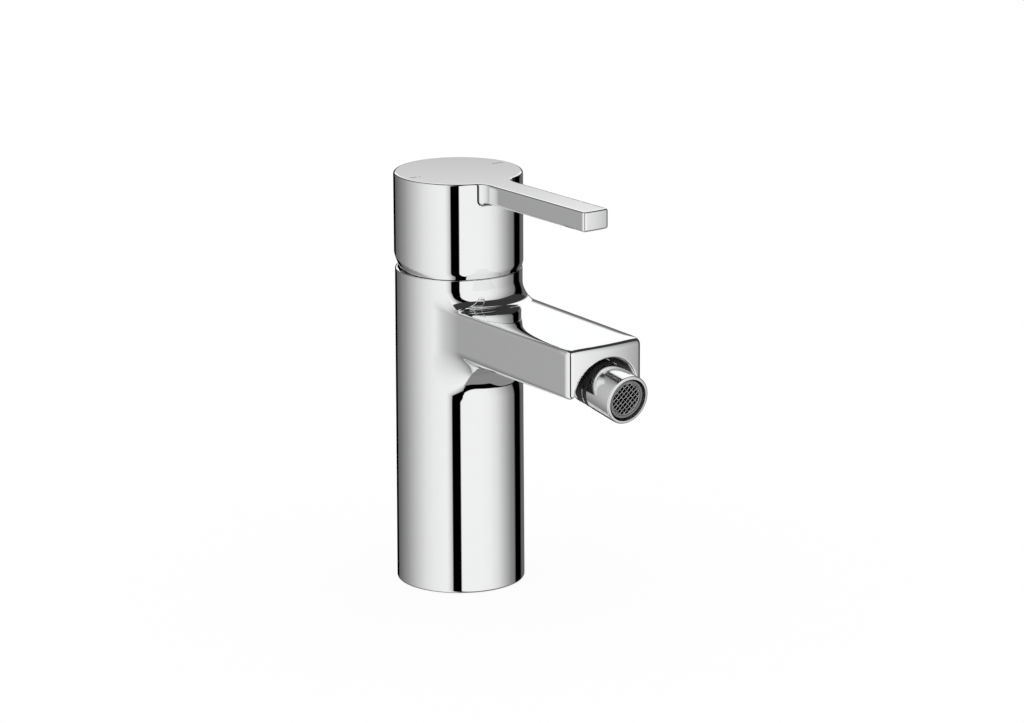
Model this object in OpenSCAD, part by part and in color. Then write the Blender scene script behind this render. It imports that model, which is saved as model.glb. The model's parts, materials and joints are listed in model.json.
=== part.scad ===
// Single-lever bidet mixer: body with integral spout, handle on a ceramic cartridge, ball-jointed nozzle.
// Millimetres, +Z up. The origin is the centre of the foot on the deck, and the spout points to -Y.

/* [Body] */
// Diameter of the foot on the deck
foot_d = 46; // [45:0.1:50]
// Draft of the body, by which its diameter is less under the rim than at the foot
rim_draft = 0.6; // [0.2:0.1:1.5]
// Height of the rim above the deck
body_h = 115; // [105:0.5:140]
// Rounding of the foot's outer edge
foot_round = 0.9; // [0.3:0.1:1.5]
// Rounding of the rim's outer edge
rim_round = 1; // [0.4:0.1:1]
// Thickness of the rim's lip, inside which the rear of the head dips
lip_t = 1.1; // [1.05:0.05:1.3]
// Wall round the hollow foot
foot_wall = 3; // [2:0.1:4]
// Width of the ring that stands on the deck
foot_land = 5.4; // [4.5:0.1:7]
// Height of that ring under the hollow
foot_land_h = 5; // [3:0.5:8]
// Thickness of the floor between the hollow foot and the cartridge
floor_t = 20; // [17:0.5:26]

/* [Spout] */
// Reach of the spout's end face from the body's axis
spout_reach = 86.5; // [82:0.5:110]
// Width of the spout, measured back at the body's axis
spout_root_w = 35.2; // [33:0.1:38]
// Width of the spout at its end
spout_tip_w = 32; // [30:0.1:34]
// Depth of the rim's edge above the spout's top, at the body's axis
spout_below_rim = 10.05; // [9:0.05:14]
// Fall of the spout's top from the axis to its end
spout_fall = 1.95; // [0.5:0.05:3]
// Depth of the spout from its top at the axis to its flat underside
spout_depth = 18.75; // [17.5:0.05:20]
// Rounding of the upright corners of the end face
spout_corner = 1.9; // [1:0.1:4]
// Radius of the gently bowed end face
spout_end_r = 80; // [50:1:200]
// Rounding of the top edges
spout_edge = 1; // [0.5:0.1:2]
// Fillet between the spout's top and the body
fillet_top = 9; // [5:0.5:9.5]
// Fillet between the spout's underside and the body
fillet_under = 7; // [4:0.5:10]
// Fillet between the spout's sides and the body
fillet_side = 12; // [6:0.5:16]

/* [Handle] */
// Step by which the head's round side stands outside the rim
head_step = 0.3; // [0.1:0.05:1]
// Height of the head above the rim
head_h = 34.6; // [33:0.1:40]
// Height of the gap between the head and the rim
seam_gap = 0.2; // [0.15:0.05:0.5]
// Height of the drawn-in band round the head's lower edge
band_h = 1.9; // [1:0.1:3]
// Depth by which that band draws in
band_in = 0.5; // [0.3:0.1:0.7]
// Forward shift of the ball-shaped relief under the head's rear
relief_shift = 1.5; // [1:0.1:1.7]
// Wall of the hollow head
head_wall = 4.2; // [3.6:0.1:4.6]
// Thickness of the head's top
head_top_t = 4; // [3:0.1:6]
// Reach of the lever's tip from the head's axis
lever_reach = 80; // [60:0.5:100]
// Width of the lever, measured back at the head's axis
lever_root_w = 11.1; // [9:0.1:14]
// Width of the lever at its tip
lever_tip_w = 10.8; // [8:0.1:13]
// Thickness of the lever
lever_t = 7.05; // [5:0.05:9]
// Rounding of the lever's upright corners
lever_corner = 1.2; // [0.5:0.1:3]
// Radius of the lever's gently bowed tip face
lever_end_r = 60; // [30:1:200]
// Fillet between the lever and the head
lever_fillet = 2.5; // [1:0.1:5]

/* [Cartridge] */
// Diameter of the cartridge
cartridge_d = 35; // [34:0.1:35.5]
// Height of the stem's pivot above the rim
pivot_rise = 11; // [11:0.1:11.5]
// Angle by which the lever lifts
lift_max = 22; // [16:1:22]
// Length of the stem's lower arm
arm_len = 15; // [14.5:0.1:15.4]
// Width of the square stem
stem_w = 7; // [6:0.1:7]
// Diameter of the stem's cross pin
pin_d = 3; // [2.5:0.1:3.2]
// Diameter of the turning stem guide
guide_d = 19; // [18.5:0.1:19.4]
// Depth of the ring nut under the rim
nut_below_rim = 8; // [7.8:0.1:10]
// Height of the ring nut
nut_h = 4; // [3:0.1:6]
// Thickness of the moving ceramic disc
moving_disc_t = 4.5; // [4:0.1:6]
// Thickness of the fixed ceramic disc
fixed_disc_t = 4.5; // [3:0.1:6]
// Height of the cartridge's base
base_h = 14; // [12:0.5:18]

/* [Nozzle] */
// Outer diameter of the nozzle
nozzle_d = 17.4; // [17:0.1:17.6]
// Distance from the ball's centre to the nozzle's mouth
nozzle_front = 19.5; // [18:0.1:26]
// Distance from the ball's centre to the turned groove behind the nozzle's front part
groove_from = 5.2; // [4.6:0.1:5.6]
// Width of that groove
groove_w = 2.2; // [1:0.1:2.4]
// Depth of that groove
groove_depth = 0.7; // [0.3:0.05:0.8]
// Angle of the resting nozzle below the level
nozzle_pitch = 9.3; // [8:0.1:12]
// Distance of the ball's centre behind the spout's end face
ball_back = 8.5; // [7.7:0.1:8.9]
// Height of the ball's centre above the spout's underside
ball_up = 3.35; // [3:0.05:3.5]
// Diameter of the ball
ball_d = 12.8; // [12.4:0.1:13]
// Angle of the ball's stud below the level
stud_pitch = 16; // [15:0.5:18]
// Radius of the arched recess round the nozzle
recess_r = 13.5; // [13.4:0.1:13.8]
// Distance of the arch's centre below the spout's underside
recess_drop = 0.9; // [0.7:0.1:1]
// Width of the mesh's square holes
mesh_hole = 1.15; // [0.6:0.05:1.3]
// Width of the mesh's wires
mesh_wire = 0.3; // [0.2:0.05:0.6]

/* [Connections] */
// Distance between the two hose ports
port_spacing = 17; // [16:0.5:20]
// Radius of the hose ports' wall, for an M10 x 1 hose tail
port_r = 4.5; // [4:0.05:4.8]
// Depth of the hose ports
port_depth = 12; // [8:0.5:14]
// Radius of the fixing stud's hole, for an M8 stud
stud_hole_r = 3.4; // [3:0.05:3.6]
// Depth of the fixing stud's hole
stud_hole_depth = 14; // [10:0.5:15]
// Distance of the fixing stud's hole behind the axis
stud_hole_back = 11; // [10:0.5:13]

/* [Hidden] */
$fn = 96;
// Spare length of a cutting shape past the face that it cuts
over = 1;
// Depth by which a fillet's arc sinks into the faces that it joins
sink = 0.2;
// Depth by which the rounding of an edge or a corner stands proud of its two faces
edge_sink = 0.05;
// Radial room of a running fit
run_gap = 0.06;
// Radial room of a screwed or slid-in piece
slide_gap = 0.05;
// Room between sliding ceramic faces
disc_slip = 0.02;
// Axial room of the turning guide
turn_slip = 0.1;

foot_r = foot_d / 2;
rim_r = foot_r - rim_draft / 2;
lip_r = rim_r - lip_t;
hollow_r = rim_r - foot_wall;
foot_hole_r = foot_r - foot_land;

spout_top = body_h - spout_below_rim;
spout_under = spout_top - spout_depth;
spout_slope = atan(spout_fall / spout_reach);

head_r = rim_r + head_step;
head_z = body_h + seam_gap;
head_top = body_h + head_h;
band_r = head_r - band_in;
head_edge = 0.4;
// Play of the relief outside the head, and its room inside the lip
relief_play = 0.1;
relief_room = 1.5;
relief_r = head_r + relief_play + relief_shift;
relief_z = body_h + sqrt(pow(relief_r, 2) - pow(lip_r - relief_room + relief_shift, 2));
cavity_r = head_r - head_wall;
hub_r = 8;
hub_lift = 6.6;
socket_depth = 12;
stem_end_gap = 0.5;
screw_lift = 12;
grub_r = 2.5;
grub_len = 10;
hex_r = 1.45;
hex_depth = 3;
plug_r = 3.5;
plug_len = 5;
boss_r = 5;

pivot_z = body_h + pivot_rise;
arm_swing = lift_max / 2;
arm_y = arm_len * sin(arm_swing);
pin_r = pin_d / 2;
pin_inset = 1;
guide_r = guide_d / 2;
guide_over_pivot = 2.8;
stem_ball_r = 2.5;
stem_arm_r = 1.9;
stem_eye_r = 3.4;
socket_room = 0.1;
socket_drop = 3.2;
carrier_boss_r = 3.6;
carrier_boss_rise = 2;
slot_room = 0.4;
slot_w = max(stem_w, 2 * carrier_boss_r) + slot_room;
slot_len = 2 * (arm_y + carrier_boss_r + slot_room);

cartridge_r = cartridge_d / 2;
casing_wall = 1.9;
casing_in_r = cartridge_r - casing_wall;
casing_lid = 1.5;
casing_neck_h = 4.5;
casing_neck_wall = 3.4;
casing_neck_r = guide_r + casing_neck_wall;
nut_top = body_h - nut_below_rim;
shoulder_z = nut_top - nut_h;
casing_top = shoulder_z + casing_neck_h;
flange_step = 1;
flange_r = casing_neck_r - flange_step;
rail_drop = 0.5;
rail_lap = 0.3;
flange_top = casing_top - casing_lid - turn_slip;
flange_z = shoulder_z - casing_wall - rail_drop;
flange_h = flange_top - flange_z;
rail_in = 9.9;
rail_out = 11.8;
rail_h = 4;
rail_half_len = 7;
carrier_h = 5.8;
carrier_top = flange_z - turn_slip;
carrier_z = carrier_top - carrier_h;
carrier_r = 12.4;
moving_disc_z = carrier_z - moving_disc_t;
moving_disc_r = 11;
fixed_disc_z = moving_disc_z - disc_slip - fixed_disc_t;
fixed_disc_r = casing_in_r - slide_gap;
disc_seal_t = 1;
disc_seal_inset = 1;
disc_seal_z = fixed_disc_z - disc_seal_t;
floor_z = disc_seal_z - base_h;
base_flange_h = 10;
casing_z = floor_z + base_flange_h;
chamber_room = 1.8;
chamber_r = cartridge_r + chamber_room;
thread_depth = 0.65;
nut_r = chamber_r + thread_depth;
nut_slot_w = 3;
nut_slot_in = 2;
thread_h = 3;
foot_hollow_top = floor_z - floor_t;

// Ports of the ceramic discs, seen from above: two inlets at the front, the outlet at the rear
inlet_x = 4.6;
inlet_y = -4.4;
inlet_r = 2.6;
outlet_y = 3.4;
outlet_r = 3.2;
mixing_r = 4.2;
mixing_depth = 2.5;
port_y = -2;
passage_r = 3.2;
inlet_seal_r = 5;
inlet_seal_t = 1.6;
window_w = 12;
window_z = 2;
window_h = 5;

// Groove and ring of the foot
gasket_in_step = 1.2;
gasket_out_step = 1;
gasket_in_r = foot_hole_r + gasket_in_step;
gasket_out_r = foot_r - foot_round - gasket_out_step;
gasket_t = 1.5;

// O-ring round the casing, in the casing's own groove
casing_ring_r = 0.9;
casing_ring_up = 4;
casing_ring_bite = 0.3;

// Ball joint, in the nozzle's own frame with +Z out of the mouth
ball_r = ball_d / 2;
ball_y = -spout_reach + ball_back;
ball_z = spout_under + ball_up;
nozzle_r = nozzle_d / 2;
nozzle_rim = 0.5;
seat_gap = 0.1;
seat_t = 0.8;
cup_r = ball_r + seat_gap + seat_t + seat_gap;
mouth_wall = 1.07;
bore_r = nozzle_r - mouth_wall;
rear_open = 49;
seat_from = 48;
seat_to = 100;
seal_z = 3.8;
seal_t = 2.2;
seal_hole_r = 3.6;
retainer_t = 2.4;
retainer_hole_r = 4.2;
spanner_hole_r = 0.7;
washer_t = 1;
aerator_z = seal_z + seal_t + retainer_t + washer_t;
aerator_recess = 0.7;
aerator_gap = 0.8;
aerator_r = bore_r - aerator_gap;
aerator_flange_h = 2;
aerator_wall = 0.9;
screen_t = 0.6;
screen_r = aerator_r - aerator_wall;
screen_recess = 0.3;
screen_step = 0.6;
screen_rim = 0.3;

// Stud of the ball joint, which rises into the spout, and the level channel that feeds it
recess_z = spout_under - recess_drop;
recess_room = 1;
recess_back = ball_back + nozzle_r + recess_room;
recess_y = -spout_reach + recess_back;
neck_r = 3.2;
collar_r = 5.7;
collar_t = 1.8;
collar_gap = 0.2;
collar_room = 1.4;
collar_back = nozzle_r + collar_room;
shank_r = 4;
water_r = 2.1;
channel_r = 3.5;
channel_up = 8.4;
channel_z = spout_under + channel_up;
stud_reach = (channel_z - ball_z) / sin(stud_pitch);
channel_y = ball_y + stud_reach * cos(stud_pitch) - channel_r;
stud_ring_r = 0.6;
stud_seat_r = shank_r + 2 * stud_ring_r + slide_gap;

// Waste corner outside an arc that rounds off a corner at [x, y], with the material towards -sx, -sy
module corner_waste(x, y, r, sx, sy) {
    translate([x, y]) scale([sx, sy]) difference() {
        translate([-r, -r]) square(r + over);
        translate([-r, -r]) circle(r);
    }
}

// Plan of a tapered blade that grows out of a round of radius round_r towards -Y, to an end bowed by end_r
module blade_plan(round_r, root_w, tip_w, reach, corner, fillet, end_r) {
    slope = (root_w - tip_w) / 2 / reach;
    taper = atan(slope);
    inner_x = root_w / 2 - corner / cos(taper);
    end_u = reach - end_r;
    grade = 1 + pow(slope, 2);
    half_sum = inner_x * slope + end_u;
    product = pow(inner_x, 2) + pow(end_u, 2) - pow(end_r - corner, 2);
    corner_u = (half_sum + sqrt(pow(half_sum, 2) - grade * product)) / grade;
    corner_x = inner_x - corner_u * slope;
    end_x = corner_x * end_r / (end_r - corner);
    side_x = corner_x + corner * cos(taper);
    side_u = corner_u + corner * sin(taper);
    square_off = root_w / 2 * cos(taper) + fillet - sink;
    centre_far = round_r + fillet - sink;
    along = sqrt(pow(centre_far, 2) - pow(square_off, 2));
    centre_x = square_off * cos(taper) - along * sin(taper);
    centre_u = square_off * sin(taper) + along * cos(taper);
    foot_x = centre_x - fillet * cos(taper);
    foot_u = centre_u - fillet * sin(taper);
    polygon([[-root_w / 2, 0], [-side_x, -side_u], [side_x, -side_u], [root_w / 2, 0]]);
    intersection() {
        translate([0, -end_u]) circle(end_r);
        translate([-end_x, -reach - over]) square([2 * end_x, reach]);
    }
    for (side = [-1, 1]) scale([side, 1]) {
        translate([corner_x, -corner_u]) circle(corner + edge_sink);
        difference() {
            polygon([[0, 0], [foot_x, -foot_u], [centre_x, -centre_u] * round_r / centre_far]);
            translate([centre_x, -centre_u]) circle(fillet);
        }
    }
}

// Right half of the body's round section
module body_section() {
    difference() {
        polygon([[0, 0], [foot_r, 0], [rim_r, body_h], [0, body_h]]);
        corner_waste(foot_r, 0, foot_round, 1, -1);
        corner_waste(rim_r, body_h, rim_round, 1, 1);
    }
}

// Waste along one long top edge of the spout
module spout_edge_waste(side) {
    taper = atan((spout_root_w - spout_tip_w) / 2 / spout_reach);
    translate([0, 0, spout_top]) rotate([spout_slope, 0, 0]) mirror([side, 0, 0])
        translate([spout_root_w / 2, 0, 0]) rotate([0, 0, -taper]) rotate([90, 0, 0])
            linear_extrude(spout_reach + over) corner_waste(edge_sink, edge_sink, spout_edge, 1, 1);
}

// Waste along the bowed front edge of the spout's top
module spout_front_waste() {
    translate([0, 0, spout_top]) rotate([spout_slope, 0, 0]) translate([0, spout_end_r - spout_reach, 0])
        rotate_extrude() corner_waste(spout_end_r + edge_sink, edge_sink, spout_edge, 1, 1);
}

// Side view of the spout, with its sloping top
module spout_side_limit() {
    past_end = spout_reach + over;
    rotate([90, 0, 90]) linear_extrude(2 * spout_root_w, center = true) polygon([
        [0, spout_under], [-past_end, spout_under],
        [-past_end, spout_top - past_end * tan(spout_slope)], [0, spout_top]
    ]);
}

// Ring-shaped fillet between the body and a level face, above it or below it
module level_fillet(r, way) {
    wall_r = rim_r - sink;
    mirror([0, 0, way < 0 ? 1 : 0]) rotate_extrude() difference() {
        translate([wall_r - foot_wall / 2, -2 * sink]) square([r + foot_wall / 2, r + sink]);
        translate([wall_r + r, r - sink]) circle(r);
    }
}

module spout_plan() {
    blade_plan(rim_r, spout_root_w, spout_tip_w, spout_reach, spout_corner, fillet_side, spout_end_r);
}

module spout_blank() {
    difference() {
        intersection() {
            translate([0, 0, spout_under - over]) linear_extrude(spout_depth + 2 * over) spout_plan();
            spout_side_limit();
        }
        for (side = [0, 1]) spout_edge_waste(side);
        spout_front_waste();
    }
    intersection() {
        translate([0, 0, spout_under - fillet_under]) linear_extrude(spout_depth + fillet_under + fillet_top)
            spout_plan();
        union() {
            translate([0, 0, spout_top]) rotate([spout_slope, 0, 0]) level_fillet(fillet_top, 1);
            translate([0, 0, spout_under]) level_fillet(fillet_under, -1);
        }
    }
}

// Cast body: hollow foot, cartridge chamber, hose ports, stud hole and the waterway to the nozzle
module body() color("gainsboro") difference() {
    union() {
        rotate_extrude() body_section();
        spout_blank();
    }
    translate([0, 0, -over]) cylinder(r = foot_hole_r, h = foot_hollow_top + over);
    translate([0, 0, foot_land_h]) cylinder(r = hollow_r, h = foot_hollow_top - foot_land_h);
    translate([0, 0, -over]) difference() {
        cylinder(r = gasket_out_r + slide_gap, h = gasket_t + over);
        translate([0, 0, -over]) cylinder(r = gasket_in_r - slide_gap, h = gasket_t + 3 * over);
    }
    translate([0, 0, floor_z]) cylinder(r = chamber_r, h = body_h);
    translate([0, 0, shoulder_z - thread_h]) cylinder(r = nut_r + slide_gap, h = body_h);
    translate([0, 0, nut_top]) cylinder(r = lip_r, h = body_h);
    for (side = [-1, 1]) translate([side * port_spacing / 2, port_y, foot_hollow_top]) {
        translate([0, 0, -over]) cylinder(r = port_r, h = port_depth + over);
        cylinder(r = passage_r, h = floor_t + over);
    }
    translate([0, stud_hole_back, foot_hollow_top - over])
        cylinder(r = stud_hole_r, h = stud_hole_depth + over);
    translate([0, recess_y, recess_z]) rotate([90, 0, 0]) cylinder(r = recess_r, h = recess_back + over);
    at_stud() {
        cylinder(r = collar_r + collar_gap, h = collar_back);
        cylinder(r = stud_seat_r, h = collar_back + 2 * stud_ring_r);
        cylinder(r = shank_r + slide_gap, h = stud_reach);
    }
    translate([0, -chamber_r / 2, channel_z]) rotate([90, 0, 0])
        cylinder(r = channel_r, h = -chamber_r / 2 - channel_y);
}

// Rubber ring, flush in the groove of the foot
module base_gasket() color("dimgray") difference() {
    cylinder(r = gasket_out_r, h = gasket_t);
    translate([0, 0, -over]) cylinder(r = gasket_in_r, h = gasket_t + 2 * over);
}

// The three openings of the discs, as upright holes
module disc_ports(h) {
    for (side = [-1, 1]) translate([side * inlet_x, inlet_y, 0]) cylinder(r = inlet_r, h = h);
    translate([0, outlet_y, 0]) cylinder(r = outlet_r, h = h);
}

// Cartridge base: inlets step outwards to the hose ports, and the outlet leaves by a window at the front
module cartridge_base() color("darkslategray") difference() {
    translate([0, 0, floor_z]) {
        cylinder(r = cartridge_r, h = base_flange_h);
        cylinder(r = casing_in_r - slide_gap, h = base_h);
    }
    for (side = [-1, 1]) {
        translate([side * inlet_x, inlet_y, floor_z + base_h / 2]) cylinder(r = inlet_r, h = base_h);
        translate([side * port_spacing / 2, port_y, floor_z]) {
            translate([0, 0, -over]) cylinder(r = passage_r, h = base_h / 2 + 2 * over);
            translate([0, 0, -over]) cylinder(r = inlet_seal_r + slide_gap, h = inlet_seal_t + over);
        }
    }
    translate([0, outlet_y, floor_z + window_z]) cylinder(r = outlet_r, h = base_h);
    translate([-window_w / 2, outlet_y, floor_z + window_z]) cube([window_w, cartridge_r, window_h]);
}

// Rings in the pockets under the base
module inlet_seals() color("black") for (side = [-1, 1])
    translate([side * port_spacing / 2, port_y, floor_z]) difference() {
        cylinder(r = inlet_seal_r, h = inlet_seal_t);
        translate([0, 0, -over]) cylinder(r = passage_r, h = inlet_seal_t + 2 * over);
    }

module disc_seal() color("black") translate([0, 0, disc_seal_z]) difference() {
    cylinder(r = fixed_disc_r - disc_seal_inset, h = disc_seal_t);
    translate([0, 0, -over]) disc_ports(disc_seal_t + 2 * over);
}

module fixed_disc() color("whitesmoke") translate([0, 0, fixed_disc_z]) difference() {
    cylinder(r = fixed_disc_r, h = fixed_disc_t);
    translate([0, 0, -over]) disc_ports(fixed_disc_t + 2 * over);
}

// The hollow underneath joins the inlets to the outlet when the disc stands forward
module moving_disc() color("white") translate([0, arm_y, moving_disc_z]) difference() {
    cylinder(r = moving_disc_r, h = moving_disc_t);
    translate([0, 0, -over]) cylinder(r = mixing_r, h = mixing_depth + over);
}

// Slide between the guide's rails, with a socket for the stem's ball
module disc_carrier() color("slategray") translate([0, arm_y, 0]) difference() {
    union() {
        intersection() {
            translate([0, 0, carrier_z]) cylinder(r = carrier_r, h = carrier_h);
            translate([-rail_in + socket_room, -carrier_r, carrier_z])
                cube([2 * (rail_in - socket_room), 2 * carrier_r, carrier_h]);
        }
        translate([0, 0, carrier_z])
            cylinder(r = carrier_boss_r, h = pivot_z - arm_len + carrier_boss_rise - carrier_z);
    }
    translate([0, 0, pivot_z - arm_len - socket_drop]) cylinder(r = stem_ball_r + socket_room, h = arm_len);
}

// Casing with the shoulder under the nut and the bearing hole of the guide
module cartridge_casing() color("dimgray") difference() {
    union() {
        translate([0, 0, casing_z]) cylinder(r = cartridge_r, h = shoulder_z - casing_z);
        translate([0, 0, casing_z]) cylinder(r = casing_neck_r, h = casing_top - casing_z);
    }
    translate([0, 0, casing_z - over])
        cylinder(r = casing_in_r, h = shoulder_z - casing_wall - casing_z + over);
    translate([0, 0, casing_z]) cylinder(r = flange_r + run_gap, h = casing_top - casing_lid - casing_z);
    translate([0, 0, casing_z]) cylinder(r = guide_r + run_gap, h = casing_top);
    translate([0, 0, casing_z + casing_ring_up]) casing_groove(casing_ring_r);
}

// Ring round the casing, as the groove that is cut for it
module casing_groove(r) {
    rotate_extrude() translate([cartridge_r + casing_ring_bite, 0]) circle(r, $fn = 32);
}

module casing_ring() color("black") translate([0, 0, casing_z + casing_ring_up])
    casing_groove(casing_ring_r - slide_gap);

// Ring nut with four drive slots
module cartridge_nut() color("darkgoldenrod") translate([0, 0, shoulder_z]) difference() {
    cylinder(r = nut_r, h = nut_h);
    translate([0, 0, -over]) cylinder(r = casing_neck_r + slide_gap, h = nut_h + 2 * over);
    for (turn = [0, 90, 180, 270]) rotate([0, 0, turn + 45])
        translate([casing_neck_r + nut_slot_in, -nut_slot_w / 2, nut_h / 2])
            cube([nut_r, nut_slot_w, nut_h]);
}

// Turning guide: flange under the casing's lid, rails for the carrier and the slot in which the stem swings
module stem_guide() color("lightslategray") difference() {
    union() {
        translate([0, 0, flange_z]) cylinder(r = flange_r, h = flange_h);
        translate([0, 0, flange_z]) cylinder(r = guide_r, h = pivot_z + guide_over_pivot - flange_z);
        for (side = [0, 1]) mirror([side, 0, 0]) translate([rail_in, -rail_half_len, flange_z - rail_h])
            cube([rail_out - rail_in, 2 * rail_half_len, rail_h + rail_lap]);
    }
    translate([-slot_w / 2, -slot_len / 2, flange_z - over])
        cube([slot_w, slot_len, pivot_z - flange_z + guide_over_pivot + 2 * over]);
    translate([0, 0, pivot_z]) rotate([0, 90, 0])
        cylinder(r = pin_r + slide_gap / 2, h = guide_d, center = true);
}

module pivot_pin() color("silver") translate([0, 0, pivot_z]) rotate([0, 90, 0])
    cylinder(r = pin_r, h = guide_d - 2 * pin_inset, center = true);

// Stem: square post for the handle, eye on the pin, slanted lower arm with a ball end
module stem() color("darkgray") translate([0, 0, pivot_z]) difference() {
    union() {
        translate([-stem_w / 2, -stem_w / 2, 0])
            cube([stem_w, stem_w, hub_lift + socket_depth - stem_end_gap]);
        rotate([0, 90, 0]) cylinder(r = stem_eye_r, h = stem_w, center = true);
        rotate([180 + arm_swing, 0, 0]) {
            cylinder(r = stem_arm_r, h = arm_len);
            translate([0, 0, arm_len]) sphere(stem_ball_r);
        }
    }
    rotate([0, 90, 0]) cylinder(r = pin_r + run_gap, h = stem_w + over, center = true);
}

// Right half of the head's round section
module head_section() {
    difference() {
        polygon([
            [0, head_z], [band_r, head_z], [head_r, head_z + band_h], [head_r, head_top], [0, head_top]
        ]);
        corner_waste(head_r, head_top, head_edge, 1, 1);
    }
}

module lever_plan() {
    blade_plan(head_r, lever_root_w, lever_tip_w, lever_reach, lever_corner, lever_fillet, lever_end_r);
}

// Hollow head with its lever; the rear of its lower edge is ball-shaped, so that it can dip inside the lip
module lever_handle() color("gainsboro") difference() {
    union() {
        intersection() {
            rotate_extrude() head_section();
            translate([0, -relief_shift, relief_z]) {
                sphere(relief_r);
                cylinder(r = relief_r, h = head_h);
            }
        }
        translate([0, 0, head_top - lever_t]) linear_extrude(lever_t)
            lever_plan();
    }
    difference() {
        translate([0, 0, body_h - over]) cylinder(r = cavity_r, h = head_h - head_top_t + over);
        translate([0, 0, pivot_z + hub_lift]) cylinder(r = hub_r, h = head_h);
        translate([0, 0, pivot_z + screw_lift]) rotate([-90, 0, 0]) cylinder(r = boss_r, h = head_r);
    }
    translate([-stem_w / 2 - slide_gap, -stem_w / 2 - slide_gap, pivot_z])
        cube([stem_w + 2 * slide_gap, stem_w + 2 * slide_gap, hub_lift + socket_depth]);
    translate([0, 0, pivot_z + screw_lift]) rotate([-90, 0, 0]) {
        cylinder(r = grub_r + slide_gap, h = 2 * head_r);
        translate([0, 0, head_r - plug_len]) cylinder(r = plug_r + slide_gap, h = head_r);
    }
}

// Hexagon-socket grub screw that clamps the stem
module grub_screw() color("dimgray") translate([0, stem_w / 2 + slide_gap, pivot_z + screw_lift])
    rotate([-90, 0, 0]) difference() {
        cylinder(r = grub_r, h = grub_len);
        translate([0, 0, grub_len - hex_depth]) cylinder(r = hex_r, h = hex_depth + over, $fn = 6);
    }

// Cover plug at the rear of the head, flush with its round side
module screw_plug() color("silver") intersection() {
    translate([0, head_r - plug_len, pivot_z + screw_lift]) rotate([-90, 0, 0])
        cylinder(r = plug_r, h = plug_len);
    translate([0, 0, pivot_z]) cylinder(r = head_r, h = head_h);
}

// Places its children on the ball, with +Z along the stud into the spout
module at_stud() {
    translate([0, ball_y, ball_z]) rotate([stud_pitch - 90, 0, 0]) children();
}

// Hollow ball on its shank, screwed into the spout
module ball_stud() color("gold") at_stud() difference() {
    union() {
        sphere(ball_r);
        cylinder(r = neck_r, h = collar_back);
        translate([0, 0, collar_back - collar_t]) cylinder(r = collar_r, h = collar_t);
        translate([0, 0, collar_back]) cylinder(r = shank_r, h = stud_reach - channel_r - collar_back);
    }
    translate([0, 0, -ball_r - over]) cylinder(r = water_r, h = 2 * ball_r + stud_reach);
}

module stud_ring() color("black") at_stud() translate([0, 0, collar_back + stud_ring_r])
    rotate_extrude() translate([shank_r + stud_ring_r, 0]) circle(stud_ring_r - slide_gap, $fn = 32);

// Places its children on the ball, with +Z out of the nozzle's mouth
module at_nozzle() {
    translate([0, ball_y, ball_z]) rotate([90 + nozzle_pitch, 0, 0]) children();
}

// Slip ring with a ball-shaped inside and outside
module ball_seat() color("ivory") at_nozzle() rotate_extrude() intersection() {
    difference() {
        circle(ball_r + seat_gap + seat_t);
        circle(ball_r + seat_gap);
    }
    polygon([
        [0, 0], for (a = [seat_from, (seat_from + seat_to) / 2, seat_to]) 2 * ball_d * [sin(a), -cos(a)]
    ]);
}

// Seal with a ball-shaped face, in front of the ball
module ball_seal() color("black") at_nozzle() difference() {
    translate([0, 0, seal_z]) cylinder(r = cup_r - slide_gap, h = seal_t);
    translate([0, 0, seal_z - over]) cylinder(r = seal_hole_r, h = seal_t + 2 * over);
    sphere(ball_r + seat_gap);
}

// Turned sleeve: ball-shaped cup at the rear, straight bore to the mouth
module nozzle_sleeve() color("gainsboro") at_nozzle() difference() {
    union() {
        rotate_extrude() difference() {
            square([nozzle_r, nozzle_front]);
            corner_waste(nozzle_r, nozzle_front, nozzle_rim, 1, 1);
            translate([nozzle_r - groove_depth, groove_from]) square([groove_depth + over, groove_w]);
        }
        sphere(nozzle_r);
    }
    sphere(cup_r);
    cylinder(r = cup_r, h = nozzle_front);
    translate([0, 0, seal_z + seal_t + retainer_t]) cylinder(r = bore_r, h = nozzle_front);
    translate([0, 0, -nozzle_d]) cylinder(r1 = nozzle_d * tan(rear_open), r2 = 0, h = nozzle_d);
}

// Threaded ring behind the aerator, with two spanner holes
module seat_retainer() color("darkgoldenrod") at_nozzle() translate([0, 0, seal_z + seal_t]) difference() {
    cylinder(r = cup_r - slide_gap, h = retainer_t);
    translate([0, 0, -over]) cylinder(r = retainer_hole_r, h = retainer_t + 2 * over);
    for (side = [-1, 1]) translate([side * (retainer_hole_r + cup_r) / 2, 0, retainer_t / 2])
        cylinder(r = spanner_hole_r, h = retainer_t);
}

module aerator_washer() color("black") at_nozzle() translate([0, 0, aerator_z - washer_t]) difference() {
    cylinder(r = bore_r - slide_gap, h = washer_t);
    translate([0, 0, -over]) cylinder(r = retainer_hole_r, h = washer_t + 2 * over);
}

// Insert of the aerator: a flange that fits the bore and a slimmer barrel with a step for the screen
module aerator_housing() color("darkslategray") at_nozzle() difference() {
    barrel = nozzle_front - aerator_recess - aerator_z;
    translate([0, 0, aerator_z]) {
        cylinder(r = bore_r - slide_gap, h = aerator_flange_h);
        cylinder(r = aerator_r, h = barrel);
    }
    translate([0, 0, aerator_z - over]) cylinder(r = screen_r - screen_step, h = barrel + 2 * over);
    translate([0, 0, aerator_z + barrel - screen_recess - screen_t])
        cylinder(r = screen_r + slide_gap, h = barrel);
}

// Mesh of square holes, set corner up
module aerator_screen() color("silver") at_nozzle()
    translate([0, 0, nozzle_front - aerator_recess - screen_recess - screen_t]) linear_extrude(screen_t)
        difference() {
            pitch = mesh_hole + mesh_wire;
            rows = ceil(screen_r / pitch);
            free_r = screen_r - screen_rim;
            circle(screen_r);
            intersection() {
                circle(free_r);
                rotate(45) for (i = [-rows : rows], j = [-rows : rows]) {
                    centre = [i, j] * pitch;
                    if (norm(centre) < free_r) translate(centre) square(mesh_hole, center = true);
                }
            }
        }

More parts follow.
